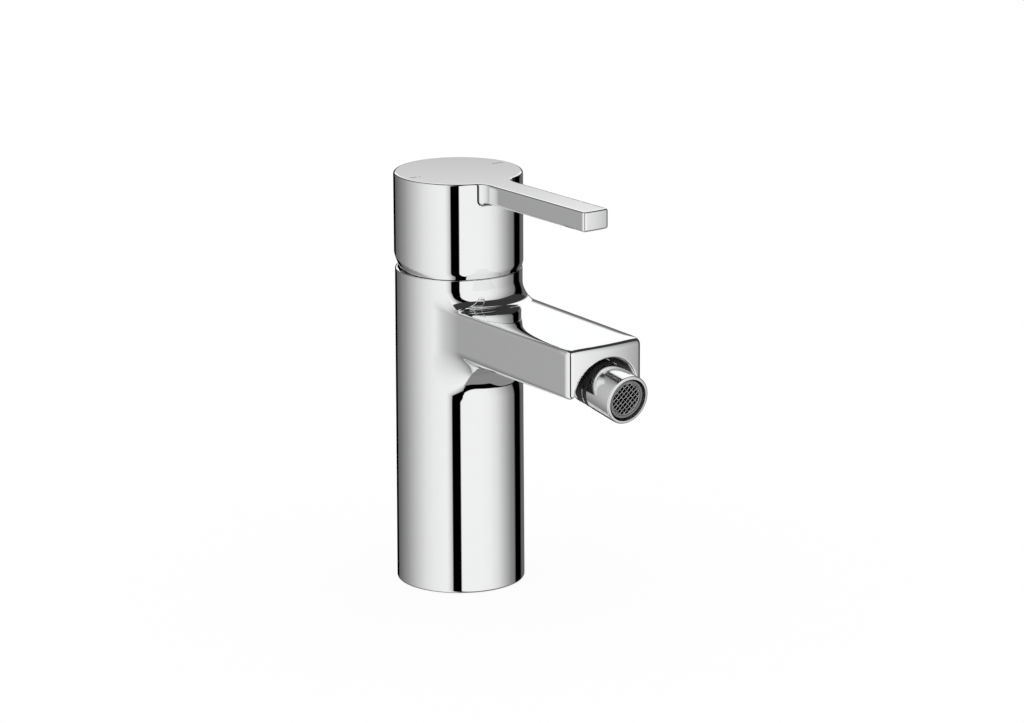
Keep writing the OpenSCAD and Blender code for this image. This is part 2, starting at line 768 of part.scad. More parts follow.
body();
base_gasket();
cartridge_base();
inlet_seals();
disc_seal();
fixed_disc();
moving_disc();
disc_carrier();
cartridge_casing();
casing_ring();
cartridge_nut();
stem_guide();
pivot_pin();
stem();
lever_handle();
grub_screw();
screw_plug();
ball_stud();
stud_ring();
ball_seat();
ball_seal();
nozzle_sleeve();
seat_retainer();
aerator_washer();
aerator_housing();
aerator_screen();
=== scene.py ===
"""Looks of a single-lever bidet mixer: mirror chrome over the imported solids, seen in a white studio."""

import json
import math

import bmesh
import bpy
import numpy as np
from mathutils import Matrix, Vector


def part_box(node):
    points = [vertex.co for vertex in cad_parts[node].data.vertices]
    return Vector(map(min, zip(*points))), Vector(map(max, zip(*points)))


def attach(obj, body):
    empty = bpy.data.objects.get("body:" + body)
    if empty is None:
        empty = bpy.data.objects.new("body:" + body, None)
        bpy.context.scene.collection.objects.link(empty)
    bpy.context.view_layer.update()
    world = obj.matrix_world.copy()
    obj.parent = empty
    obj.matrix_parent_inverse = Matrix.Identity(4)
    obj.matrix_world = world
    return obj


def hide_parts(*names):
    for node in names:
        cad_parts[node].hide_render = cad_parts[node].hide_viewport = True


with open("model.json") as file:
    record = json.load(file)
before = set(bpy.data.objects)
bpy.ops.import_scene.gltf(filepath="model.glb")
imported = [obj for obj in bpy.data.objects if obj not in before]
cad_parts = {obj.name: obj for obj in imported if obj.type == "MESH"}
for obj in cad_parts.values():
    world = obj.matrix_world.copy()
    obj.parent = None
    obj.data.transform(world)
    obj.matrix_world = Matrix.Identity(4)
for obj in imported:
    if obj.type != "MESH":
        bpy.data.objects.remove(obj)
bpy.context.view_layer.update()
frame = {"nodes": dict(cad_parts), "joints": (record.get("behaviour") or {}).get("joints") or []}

# Millimetres in this file's sizes, metres in the scene
MM = 0.001
# Smallest number that is safe to divide by
tiny = 1e-6


def corners(node):
    """Lowest and highest corner of a solid, in millimetres."""
    return [np.array(corner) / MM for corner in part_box(node)]


def joint_of(name):
    """Pivot of a joint, in millimetres, and its axis."""
    found = next(joint for joint in frame["joints"] if joint["name"] == name)
    return np.array(found["pos_m"]) / MM, np.array(found["axis"], float)


# Sizes read from the solids

body_low, body_high = corners("body")
handle_low, handle_high = corners("lever_handle")
pivot = joint_of("handle_lift")[0]
ball, nozzle_axis = joint_of("nozzle_spin")
body_h = body_high[2]
spout_reach = -body_low[1]
head_top = handle_high[2]
head_r = handle_high[0]
lever_reach = -handle_low[1]

# Sizes of the body and its spout

foot_r = body_high[0]
rim_r = 22.7
foot_round = 0.9
rim_round = 0.5
spout_root_w = 35.2
spout_tip_w = 32.0
spout_top = 104.95
spout_fall = 1.95
spout_under = 86.2
spout_corner = 2.2
spout_end_r = 80.0
spout_edge_side = 1.0
spout_edge_end = 2.0
edge_run = 6.0
spout_crown = 0.9
crown_fade_side = 2.2
crown_fade_end = 1.6
lower_edge_root = 4.7
lower_edge_tip = 1.4
lower_edge_y = (-25.0, -85.0)
fillet_top = 6.0
fillet_under = 15.0
fillet_side = 15.0
recess_r = 13.5
recess_z = 85.3
recess_back = 18.2
recess_edge = 0.9
# Depths into the nozzle's recess over which its painted shade fades in
recess_shade_from = 1.3
recess_shade_to = 2.6

# Hollows of the body

foot_hole_r = 17.6
hollow_r = 19.7
foot_land_h = 5.0
hollow_top = 50.68
groove_in_r = 18.75
groove_out_r = 21.15
groove_h = 1.5
floor_z = 70.68
chamber_r = 19.3
nut_bore_r = 20.0
nut_bore_z = 100.0
lip_r = 21.6
lip_z = 107.0
port_x = 8.5
port_y = -2.0
port_r = 4.5
port_depth = 12.0
passage_r = 3.2
stud_hole_y = 11.0
stud_hole_r = 3.4
stud_hole_depth = 14.0
# Run of a hole into the next hollow
overlap = 1.0

# Sizes of the handle

seam_gap = 0.2
band_h = 1.9
band_in = 0.5
band_crease = 0.15
head_edge = 0.85
relief_shift = 1.5
relief_r = 24.6
relief_room = 1.5
lever_root_w = 11.1
lever_tip_w = 10.8
lever_t = 7.05
lever_corner = 1.2
lever_end_r = 60.0
lever_edge = 0.9
lever_fillet = 5.0
lever_under_fillet = 1.6
cavity_r = 18.8
cavity_top_t = 4.0
hub_r = 8.0
hub_lift = 6.6
socket_half = 3.55
socket_depth = 12.0
screw_lift = 12.0
screw_boss_r = 5.0
screw_hole_r = 2.55
plug_hole_r = 3.55
plug_len = 5.0

# Sizes of the nozzle, along its axis from the ball's centre

nozzle_r = 8.7
nozzle_front = 19.5
nozzle_rim = 0.5
cup_r = 7.4
cup_end = 8.4
cup_turn = 131.0
bore_r = 7.63
groove_depth = 0.7
# Grooves in the sleeve, each filled with a black ring that paints the shade of the gap there
grooves = {"rear_shade_band": (1.0, 4.8), "front_shade_band": (5.2, 7.4)}
band_gap = 0.05
band_depth = 0.15
insert_z = 9.4
insert_flange_r = 7.58
insert_flange_h = 2.0
insert_r = 6.83
insert_front = 18.8
insert_bore_r = 5.33
insert_edge = 0.2
screen_z = 17.9
screen_pocket_r = 5.98
screen_free_r = 5.63
screen_rim = 0.3
screen_wire = 0.26
screen_pitch = 1.45
screen_rows = 8

# Marks on the head's top, each a run from its first to its last point

mark_runs = {
    "hot_mark": [(-20.0, 0.9), (-18.0, 0.3)],
    "hot_dot": [(-16.9, 0.05), (-16.6, 0.0)],
    "cold_mark": [(16.3, 1.5), (20.7, 1.55)],
}
mark_w = 0.55
mark_depth = 0.25
mark_proud = 0.015

# Signed distances: below zero inside, in millimetres


def meet(a, b, r):
    """What two solids share, with their common edge rounded by r."""
    outside = np.hypot(np.maximum(a + r, 0), np.maximum(b + r, 0))
    return np.minimum(np.maximum(a + r, b + r), 0) + outside - r


def both(*parts):
    """What solids share, with sharp edges."""
    return np.maximum.reduce(parts)


def smooth(t):
    """Soft step from 0 to 1."""
    t = np.clip(t, 0, 1)
    return t * t * (3 - 2 * t)


def blade(x, y, root_w, tip_w, reach, end_r):
    """Side and bowed end of a tapered blade towards -Y, and the cosine of the angle between its side and the
    wall of the round body that it grows from."""
    slope = (root_w - tip_w) / 2 / reach
    slant = math.cos(math.atan(slope))
    side = (np.abs(x) - root_w / 2 - slope * y) * slant
    end = np.hypot(x, y + reach - end_r) - end_r
    return side, end, slant * (np.abs(x) - slope * y) / np.maximum(np.hypot(x, y), tiny)


def grow(body, branch, lean, side, level, edge, side_r, level_r):
    """A round body and the blade that grows out of it, with a rolling ball's fillet between them: its radius
    is side_r beside the blade and level_r over or under it."""
    beside = np.maximum(side + edge, 0)
    above = np.maximum(level + edge, tiny)
    away = np.hypot(beside, above)
    r = side_r + (level_r - side_r) * (above / away) ** 2
    lean = lean * beside / away
    u, v = np.maximum(r - body, 0), np.maximum(r - branch, 0)
    ball_d = r - np.sqrt((u * u + v * v - 2 * lean * u * v) / np.maximum(1 - lean * lean, tiny))
    return np.where((u > lean * v) & (v > lean * u), ball_d, np.minimum(body, branch))


def body_distance(x, y, z):
    """Cast body with its spout, its hollows and the arched recess of the nozzle."""
    rho = np.hypot(x, y)
    column_r = foot_r + (rim_r - foot_r) * z / body_h
    column = rho - column_r
    side, end, lean = blade(x, y, spout_root_w, spout_tip_w, spout_reach, spout_end_r)
    swell_side = 1 - np.exp(np.minimum(side, 0) / crown_fade_side)
    swell_end = 1 - np.exp(np.minimum(end, 0) / crown_fade_end)
    top = z - spout_top - spout_fall * y / spout_reach - spout_crown * (swell_side * swell_end)
    under = spout_under - z
    out = np.clip((y - lower_edge_y[0]) / (lower_edge_y[1] - lower_edge_y[0]), 0, 1)
    upper_edge = spout_edge_side + (spout_edge_end - spout_edge_side) * smooth(end / edge_run + 1)
    lower_edge = lower_edge_root + (lower_edge_tip - lower_edge_root) * out
    spout = both(meet(meet(meet(side, end, spout_corner), top, upper_edge), under, lower_edge), y)
    solid = np.where(top > under, grow(column, spout, lean, side, top, upper_edge, fillet_side, fillet_top),
                     grow(column, spout, lean, side, under, lower_edge, fillet_side, fillet_under))
    solid = meet(meet(solid, z - body_h, rim_round), -z, foot_round)
    recess = both(np.hypot(x, z - recess_z) - recess_r, y + spout_reach - recess_back)
    solid = meet(solid, -recess, recess_edge)
    groove_mid = (groove_in_r + groove_out_r) / 2
    from_hollow = hollow_top - overlap - z
    hollows = [
        both(rho - foot_hole_r, z - hollow_top),
        both(rho - hollow_r, z - hollow_top, foot_land_h - z),
        both(np.abs(rho - groove_mid) - (groove_out_r - groove_in_r) / 2, z - groove_h),
        both(rho - chamber_r, floor_z - z),
        both(rho - nut_bore_r, nut_bore_z - z),
        both(rho - lip_r, lip_z - z),
        both(np.hypot(x, y - stud_hole_y) - stud_hole_r, from_hollow, z - hollow_top - stud_hole_depth),
    ]
    port = np.hypot(np.abs(x) - port_x, y - port_y)
    hollows.append(both(port - port_r, from_hollow, z - hollow_top - port_depth))
    hollows.append(both(port - passage_r, from_hollow, z - floor_z - overlap))
    return both(solid, -np.minimum.reduce(hollows))


def handle_distance(x, y, z):
    """Hollow head with its lever, relieved at the rear of its lower edge."""
    rho = np.hypot(x, y)
    head_z = body_h + seam_gap
    relief_z = body_h + math.sqrt(relief_r ** 2 - (lip_r - relief_room + relief_shift) ** 2)
    relief = np.sqrt(x ** 2 + (y + relief_shift) ** 2 + np.minimum(z - relief_z, 0) ** 2) - relief_r
    band = ((rho - head_r + band_in) * band_h - (z - head_z) * band_in) / math.hypot(band_in, band_h)
    head = both(meet(rho - head_r, band, band_crease), relief)
    side, end, lean = blade(x, y, lever_root_w, lever_tip_w, lever_reach, lever_end_r)
    under = head_top - lever_t - z
    lever = both(meet(meet(side, end, lever_corner), under, lever_edge), y)
    solid = grow(head, lever, lean, side, under, lever_edge, lever_fillet, lever_under_fillet)
    solid = both(meet(solid, z - head_top, head_edge), head_z - z)
    bore = np.hypot(x, z - pivot[2] - screw_lift)
    hub = both(rho - hub_r, pivot[2] + hub_lift - z)
    boss = both(bore - screw_boss_r, -y)
    cavity = both(rho - cavity_r, z - head_top + cavity_top_t, -np.minimum(hub, boss))
    socket = both(np.abs(x) - socket_half, np.abs(y) - socket_half, z - pivot[2] - hub_lift - socket_depth)
    screw_hole = both(bore - screw_hole_r, -y)
    plug_hole = both(bore - plug_hole_r, head_r - plug_len - y)
    return both(solid, -np.minimum.reduce([cavity, socket, screw_hole, plug_hole]))


# Meshes from distances


def lines(*runs):
    """Grid lines in runs of (start, step), closed by a last plain number."""
    ends = [run[0] for run in runs[1:-1]] + [runs[-1]]
    parts = []
    for (start, step), end in zip(runs[:-1], ends):
        parts.append(np.linspace(start, end, max(round((end - start) / step), 1), endpoint=False))
    return np.append(np.concatenate(parts), runs[-1])


def square_place(x, y, z):
    return x, y, z


def round_place(rho, turn, z):
    return rho * np.cos(np.radians(turn)), rho * np.sin(np.radians(turn)), z


def slopes(distance, points, reach=0.01):
    """Gradient of a distance at points."""
    found = np.empty_like(points)
    for axis in range(3):
        step = np.zeros(3)
        step[axis] = reach
        found[:, axis] = (distance(*(points + step).T) - distance(*(points - step).T)) / (2 * reach)
    return found


def skin(name, distance, grid, place=square_place, turns=False):
    """Closed mesh of the solid where distance is below zero: one point for each grid cell that its surface
    crosses, moved onto the surface, with the surface's own normals. With turns, the second coordinate is an
    angle that closes on itself."""
    settle_rounds, longest_step, least_steep = 6, 0.4, 0.1
    grid = list(grid)
    if turns:
        grid[1] = np.concatenate([grid[1][-1:] - 360, grid[1], grid[1][:1] + 360])
    field = distance(*place(*np.meshgrid(*grid, indexing="ij")))
    shape = np.array(field.shape) - 1
    total = np.zeros((*shape, 3))
    count = np.zeros(shape, int)
    edges = []
    for axis in range(3):
        low = np.moveaxis(np.moveaxis(field, axis, 0)[:-1], 0, axis)
        high = np.moveaxis(np.moveaxis(field, axis, 0)[1:], 0, axis)
        start = np.argwhere((low < 0) != (high < 0))
        a, b = low[tuple(start.T)], high[tuple(start.T)]
        point = np.stack([grid[i][start[:, i]] for i in range(3)], 1)
        point[:, axis] += a / (a - b) * (grid[axis][start[:, axis] + 1] - point[:, axis])
        around = []
        for back in ((1, 1), (0, 1), (0, 0), (1, 0)):
            cell = start.copy()
            cell[:, (axis + 1) % 3] -= back[0]
            cell[:, (axis + 2) % 3] -= back[1]
            fits = np.all((cell >= 0) & (cell < shape), axis=1)
            np.add.at(total, tuple(cell[fits].T), point[fits])
            np.add.at(count, tuple(cell[fits].T), 1)
            around.append((cell, fits))
        whole = np.all([fits for cell, fits in around], axis=0)
        if turns and axis == 1:
            whole &= start[:, 1] < shape[1] - 1
        ring = np.stack([cell[whole] for cell, fits in around], 1)
        outward = a[whole] < 0
        edges.append(np.where(outward[:, None, None], ring, ring[:, ::-1]))
    used = count > 0
    if turns:
        used[:, -1] = False
    number = np.full(shape, -1)
    number[used] = np.arange(used.sum())
    if turns:
        number[:, -1] = number[:, 0]
    points = np.stack(place(*(total[used] / count[used][:, None]).T), 1)
    for _ in range(settle_rounds):
        slope = slopes(distance, points)
        steep = np.maximum((slope ** 2).sum(1), least_steep)[:, None]
        points -= np.clip(distance(*points.T)[:, None] * slope / steep, -longest_step, longest_step)
    faces = number[tuple(np.moveaxis(np.concatenate(edges), -1, 0))]
    mesh = bpy.data.meshes.new(name)
    mesh.from_pydata(points * MM, [], faces.tolist())
    work = bmesh.new()
    work.from_mesh(mesh)
    holes = [edge for edge in work.edges if edge.is_boundary]
    if holes:
        bmesh.ops.holes_fill(work, edges=holes)
        bmesh.ops.recalc_face_normals(work, faces=work.faces)
    work.to_mesh(mesh)
    work.free()
    mesh.shade_smooth()
    normals = slopes(distance, points)
    normals /= np.linalg.norm(normals, axis=1)[:, None]
    mesh.normals_split_custom_set_from_vertices(normals)
    return link(name, mesh)


def link(name, mesh):
    piece = bpy.data.objects.new(name, mesh)
    bpy.context.scene.collection.objects.link(piece)
    return piece


def place_of(*columns):
    """Matrix from its three axes and its origin."""
    place = Matrix.Identity(4)
    for column, axis in enumerate(columns):
        for row in range(3):
            place[row][column] = axis[row]
    return place


def nozzle_place():
    """Place of the resting nozzle: its own z runs from the ball's centre out of the mouth."""
    out = Vector(nozzle_axis).normalized()
    aside = Vector((1, 0, 0))
    return place_of(aside, out.cross(aside), out, Vector(ball) * MM)


def arc(centre_z, centre_r, radius, start, end, steps):
    """Points of an arc in a lathe profile, with angles from the axis in degrees."""
    turns = np.radians(np.linspace(start, end, steps + 1))
    return [(centre_z + radius * math.cos(turn), centre_r + radius * math.sin(turn)) for turn in turns]


def lathe(name, profile, segments=144, crease=30.0):
    """Ring turned from a closed profile of (distance along the nozzle's axis, radius)."""
    count = len(profile)
    points, faces = [], []
    for step in range(segments):
        turn = 2 * math.pi * step / segments
        points += [(r * math.cos(turn) * MM, r * math.sin(turn) * MM, z * MM) for z, r in profile]
        here, there = step * count, (step + 1) % segments * count
        faces += [(here + i, there + i, there + (i + 1) % count, here + (i + 1) % count)
                  for i in range(count)]
    mesh = bpy.data.meshes.new(name)
    mesh.from_pydata(points, [], faces)
    mesh.transform(nozzle_place())
    settle(mesh)
    mesh.shade_smooth()
    mesh.set_sharp_from_angle(angle=math.radians(crease))
    return link(name, mesh)


def settle(mesh):
    """Merges doubles and turns the faces outwards."""
    merge_reach = 1e-7
    work = bmesh.new()
    work.from_mesh(mesh)
    bmesh.ops.remove_doubles(work, verts=work.verts, dist=merge_reach)
    bmesh.ops.recalc_face_normals(work, faces=work.faces)
    work.to_mesh(mesh)
    work.free()


def inlay(name, run):
    """Filled groove with round ends, all but flush in the head's top."""
    end_points = 9
    first, last = (np.array(point) for point in run)
    way = math.atan2(*(last - first)[::-1])
    outline = []
    for end, start_turn in ((last, way - math.pi / 2), (first, way + math.pi / 2)):
        for turn in np.linspace(start_turn, start_turn + math.pi, end_points):
            outline.append(end + mark_w / 2 * np.array([math.cos(turn), math.sin(turn)]))
    count = len(outline)
    points = [(x * MM, y * MM, (head_top + z) * MM) for z in (-mark_depth, mark_proud) for x, y in outline]
    faces = [tuple(range(count)), tuple(range(count, 2 * count))]
    faces += [(i, (i + 1) % count, count + (i + 1) % count, count + i) for i in range(count)]
    mesh = bpy.data.meshes.new(name)
    mesh.from_pydata(points, [], faces)
    settle(mesh)
    return link(name, mesh)


# Shader graphs


class Value:
    """An output of a node; arithmetic on it adds Math nodes."""

    def __init__(self, graph, socket):
        self.graph = graph
        self.socket = socket

    def other(self, name):
        """Another output of the same node."""
        return Value(self.graph, self.socket.node.outputs[name])

    def maths(self, operation, *others):
        """A Math node with this value as its first input."""
        return self.graph.node("ShaderNodeMath", {"operation": operation}, dict(enumerate((self, *others))))

    def maths_after(self, operation, other):
        """A Math node with this value as its second input."""
        return self.graph.node("ShaderNodeMath", {"operation": operation}, {0: other, 1: self})

    def __add__(self, other):
        return self.maths("ADD", other)

    def __radd__(self, other):
        return self.maths_after("ADD", other)

    def __sub__(self, other):
        return self.maths("SUBTRACT", other)

    def __rsub__(self, other):
        return self.maths_after("SUBTRACT", other)

    def __mul__(self, other):
        return self.maths("MULTIPLY", other)

    def __rmul__(self, other):
        return self.maths_after("MULTIPLY", other)

    def __truediv__(self, other):
        return self.maths("DIVIDE", other)

    def __rtruediv__(self, other):
        return self.maths_after("DIVIDE", other)

    def at_least(self, other):
        return self.maths("MAXIMUM", other)

    def at_most(self, other):
        return self.maths("MINIMUM", other)

    def fade(self, start, end, kind="LINEAR"):
        """From 0 at start to 1 at end."""
        return self.graph.node("ShaderNodeMapRange", {"interpolation_type": kind},
                               {0: self, 1: start, 2: end})

    def step(self, start, end):
        """Soft step from 0 at start to 1 at end."""
        return self.fade(start, end, "SMOOTHSTEP")

    def ramp(self, stops):
        """Colour ramp read at this value."""
        return self.graph.node("ShaderNodeValToRGB", {"stops": stops}, {0: self})

    def mix(self, low, high):
        """The first number where this value is 0, the second where it is 1."""
        return self.graph.node("ShaderNodeMix", {"data_type": "FLOAT"}, {0: self, 2: low, 3: high})

    def mix_colour(self, low, high):
        """The first colour where this value is 0, the second where it is 1."""
        return self.graph.node("ShaderNodeMix", {"data_type": "RGBA"}, {0: self, 6: low, 7: high}, 2)


class Graph:
    """A node tree that is written as expressions."""

    def __init__(self, tree):
        self.tree = tree
        tree.nodes.clear()

    def node(self, kind, settings=(), inputs=(), output=0):
        """Adds a node and returns one of its outputs, if it has any."""
        made = self.tree.nodes.new(kind)
        settings = dict(settings)
        for stop, (place, colour) in enumerate(settings.pop("stops", ())):
            ramp = made.color_ramp.elements
            element = ramp[stop] if stop < len(ramp) else ramp.new(place)
            element.position = place
            element.color = (*colour, 1) if isinstance(colour, tuple) else (colour, colour, colour, 1)
        for name, value in settings.items():
            setattr(made, name, value)
        for key, value in dict(inputs).items():
            for item in value if isinstance(value, list) else [value]:
                if isinstance(item, Value):
                    self.tree.links.new(item.socket, made.inputs[key])
                else:
                    made.inputs[key].default_value = item
        return Value(self, made.outputs[output]) if made.outputs else None


def new_material(name):
    """A material and its empty graph."""
    material = bpy.data.materials.new(name)
    material.use_nodes = True
    return material, Graph(material.node_tree)


# Woven screen of the mouth


def woven_screen_tree():
    """Wires in two directions, waved over and under each other inside a rim."""
    wire_points, wire_sides, rim_points, wave_share = 56, 8, 96, 0.25
    tree = bpy.data.node_groups.new("woven_screen", "GeometryNodeTree")
    for name in ("Pitch", "Wire", "Radius", "Rim"):
        tree.interface.new_socket(name=name, in_out="INPUT", socket_type="NodeSocketFloat")
    tree.interface.new_socket(name="Rows", in_out="INPUT", socket_type="NodeSocketInt")
    tree.interface.new_socket(name="Material", in_out="INPUT", socket_type="NodeSocketMaterial")
    tree.interface.new_socket(name="Geometry", in_out="OUTPUT", socket_type="NodeSocketGeometry")
    graph = Graph(tree)
    pitch = graph.node("NodeGroupInput", output="Pitch")
    wire, radius, rim, rows = (pitch.other(name) for name in ("Wire", "Radius", "Rim", "Rows"))
    first = graph.node("ShaderNodeCombineXYZ", inputs={"Y": (1 - rows) * pitch / 2})
    step = graph.node("ShaderNodeCombineXYZ", inputs={"Y": pitch})
    places = graph.node("GeometryNodeMeshLine", {"mode": "OFFSET"},
                        {"Count": rows, "Start Location": first, "Offset": step})
    x = graph.node("ShaderNodeSeparateXYZ", inputs={0: graph.node("GeometryNodeInputPosition")})
    y = x.other("Y")
    half_chord = (radius * radius - y * y).maths("SQRT")
    reach = graph.node("ShaderNodeCombineXYZ", inputs={"X": half_chord, "Y": 1.0, "Z": 1.0})
    straight = graph.node("GeometryNodeCurvePrimitiveLine", inputs={"Start": (-1, 0, 0), "End": (1, 0, 0)})
    fine = graph.node("GeometryNodeResampleCurve", inputs={"Curve": straight, "Count": wire_points})
    laid = graph.node("GeometryNodeInstanceOnPoints",
                      inputs={"Points": places, "Instance": fine, "Scale": reach})
    loose = graph.node("GeometryNodeRealizeInstances", inputs={0: laid})
    wave = (x * math.pi / pitch).maths("SINE") * (y * math.pi / pitch).maths("SINE") * wire * wave_share
    lift = graph.node("ShaderNodeCombineXYZ", inputs={"Z": wave})
    waved = graph.node("GeometryNodeSetPosition", inputs={"Geometry": loose, "Offset": lift})
    section = graph.node("GeometryNodeCurvePrimitiveCircle",
                         inputs={"Resolution": wire_sides, "Radius": wire / 2})
    wires = graph.node("GeometryNodeCurveToMesh",
                       inputs={"Curve": waved, "Profile Curve": section, "Fill Caps": True})
    crossed = graph.node("GeometryNodeTransform", inputs={"Geometry": wires, "Rotation": (0, 0, math.pi / 2)})
    round_rim = graph.node("GeometryNodeCurvePrimitiveCircle",
                           inputs={"Resolution": rim_points, "Radius": radius + rim / 2})
    rim_section = graph.node("GeometryNodeCurvePrimitiveQuadrilateral",
                             inputs={"Width": rim, "Height": wire * 2})
    rim_ring = graph.node("GeometryNodeCurveToMesh",
                          inputs={"Curve": round_rim, "Profile Curve": rim_section})
    whole = graph.node("GeometryNodeJoinGeometry", inputs={0: [wires, crossed, rim_ring]})
    real = graph.node("GeometryNodeRealizeInstances", inputs={0: whole})
    dressed = graph.node("GeometryNodeSetMaterial",
                         inputs={"Geometry": real, "Material": pitch.other("Material")})
    graph.node("NodeGroupOutput", inputs={"Geometry": dressed})
    return tree


def woven_screen(name, material):
    """Screen in the nozzle's mouth, with its wires set diagonally."""
    tree = woven_screen_tree()
    sizes = {"Pitch": screen_pitch * MM, "Wire": screen_wire * MM, "Radius": screen_free_r * MM,
             "Rim": screen_rim * MM, "Rows": screen_rows, "Material": material}
    holder = link("screen_holder", bpy.data.meshes.new("screen_holder"))
    weave = holder.modifiers.new("weave", "NODES")
    weave.node_group = tree
    for item in tree.interface.items_tree:
        if item.name in sizes:
            weave[item.identifier] = sizes[item.name]
    mesh = bpy.data.meshes.new_from_object(holder.evaluated_get(bpy.context.evaluated_depsgraph_get()))
    bpy.data.objects.remove(holder)
    mesh.name = name
    middle = (screen_z + screen_wire) * MM
    mesh.transform(nozzle_place() @ Matrix.Translation((0, 0, middle)) @ Matrix.Rotation(math.pi / 4, 4, "Z"))
    settle(mesh)
    return link(name, mesh)


# Studio

# Brightest part of the back wall, where the paper's white is 1
wall_glow = 1.1


def azimuth_ramp():
    """Brightness of the studio round the mixer, by the angle from the camera in degrees: wide panels either
    side of the camera, and a dark flag at each side."""
    return [
        (-180, 0.12), (-176, 0.0), (-151.5, 0.0), (-148.5, 0.135), (-136, 0.175), (-112, 0.325), (-96, 0.49),
        (-80, 0.655), (-64, 0.82), (-48, 0.91), (-30, 0.96), (-14.5, 0.97), (5, 0.98), (40, 0.98),
        (56, 0.945), (72, 0.8), (88, 0.53), (104, 0.295), (115, 0.215), (119, 0.0),
        (139, 0.0), (145, 0.13), (180, 0.16),
    ]


def cap_ramp():
    """Height of the dark patch's edge overhead, in degrees, by the angle from the camera: low at the right,
    high at the left, and drawn back from a white strip behind the mixer."""
    return [
        (-180, 56), (-163, 56), (-158, 20), (-140, 20), (-134, 50), (-120, 56), (-90, 60), (0, 60), (60, 52),
        (90, 44), (115, 25), (155, 20), (161, 56), (180, 56),
    ]


def back_wall_ramp():
    """Brightness of the wall behind the mixer by its height in degrees."""
    return [(11.5, 0.35), (12.35, 0.6), (12.7, 0.73), (13.13, 0.94), (13.6, wall_glow)]


def by_turn(degrees):
    """Place on a ramp that runs once round the mixer, with the camera in its middle."""
    return degrees / 360 + 0.5


def by_height(degrees):
    """Place on a ramp from straight down to straight up."""
    return degrees / 180 + 0.5


def studio_world(camera_turn):
    """Upright panels and flags all round, a dark gap that runs round the panel at the camera's right, a white
    back wall above the mixer's height, and a dark round patch overhead. Places and widths are in degrees."""
    cap_soft = 4.0
    cap_grey = 0.04
    panel_left = 3.0
    panel_top = 60.0
    panel_low = -55.0
    panel_low_rise = 0.21
    panel_low_end = 120.0
    panel_corner = 38.0
    gap_w = 15.5
    gap_soft = 2.0
    gap_thins = (75.0, 100.0)
    gap_thinning = 6.0
    right_part = (-25.0, -5.0)
    low_grey = 0.27
    wall_foot = (9.5, 11.0)
    wall_side = (157.0, 163.0)
    world = bpy.data.worlds.new("studio")
    bpy.context.scene.world = world
    world.use_nodes = True
    graph = Graph(world.node_tree)
    direction = graph.node("ShaderNodeTexCoord", output="Generated")
    x = graph.node("ShaderNodeSeparateXYZ", inputs={0: direction})
    y, z = x.other("Y"), x.other("Z")
    sight = (math.sin(camera_turn), -math.cos(camera_turn))
    ahead = x * sight[0] + y * sight[1]
    aside = y * sight[0] - x * sight[1]
    angle = aside.maths("ARCTAN2", ahead) * (180 / math.pi)
    rise = z.maths("ARCSINE") * (180 / math.pi)
    turn, height = by_turn(angle), by_height(rise)
    panels = turn.ramp([(by_turn(degrees), grey) for degrees, grey in azimuth_ramp()])
    out_side = panel_left + panel_corner - angle
    low = angle.at_least(0.0).at_most(panel_low_end) * panel_low_rise + panel_low
    out_level = (rise - panel_top).at_least(low - rise) + panel_corner
    inside = out_side.at_least(out_level).at_most(0.0)
    far_side, far_level = out_side.at_least(0.0), out_level.at_least(0.0)
    outside = inside + (far_side * far_side + far_level * far_level).maths("SQRT") - panel_corner
    outside = outside * (angle.step(*gap_thins) * gap_thinning + 1)
    past = outside.step(0.0, gap_soft)
    beyond = outside.step(gap_w, gap_w + gap_soft)
    further = angle.step(*right_part).mix(panels, low_grey)
    walls = panels * (1 - past) + further * beyond
    raised = height.ramp([(by_height(wall_foot[0]), 0.0), (by_height(wall_foot[1]), 1.0)])
    wall_stops = [(by_height(degrees), grey / wall_glow) for degrees, grey in back_wall_ramp()]
    back_wall = height.ramp(wall_stops) * wall_glow
    behind = angle.maths("ABSOLUTE").step(*wall_side)
    upright = (raised * behind).mix(walls, back_wall)
    edge = turn.ramp([(by_turn(degrees), level / 90) for degrees, level in cap_ramp()]) * 90
    sky = (rise - edge).step(0.0, cap_soft).mix(upright, cap_grey)
    path = graph.node("ShaderNodeLightPath", output="Is Camera Ray")
    mirrored = path.other("Is Glossy Ray") + path.other("Is Transmission Ray")
    shown = path.mix(mirrored.mix(1.0, sky), 1.0)
    surface = graph.node("ShaderNodeBackground", inputs={"Color": shown, "Strength": 1.0})
    graph.node("ShaderNodeOutputWorld", inputs={"Surface": surface})


def studio_floor():
    """White paper that mostly glows for the camera, so that the mixer's shade on it stays faint."""
    half = 3000.0 * MM
    drop = 0.2 * MM
    glow_share = 0.9
    paper_tone = (0.98, 0.98, 0.98, 1)
    mesh = bpy.data.meshes.new("floor")
    sheet = [(-half, -half, 0), (half, -half, 0), (half, half, 0), (-half, half, 0)]
    mesh.from_pydata(sheet, [], [(0, 1, 2, 3)])
    floor = link("floor", mesh)
    material, graph = new_material("floor_paper")
    paper = graph.node("ShaderNodeBsdfDiffuse", inputs={"Color": paper_tone})
    glow = graph.node("ShaderNodeEmission", inputs={"Color": (1, 1, 1, 1), "Strength": 1.0})
    path = graph.node("ShaderNodeLightPath", output="Is Camera Ray")
    mixed = graph.node("ShaderNodeMixShader", inputs={0: path * glow_share, 1: paper, 2: glow})
    graph.node("ShaderNodeOutputMaterial", inputs={"Surface": mixed})
    mesh.materials.append(material)
    floor.visible_glossy = False
    floor.location.z = -drop


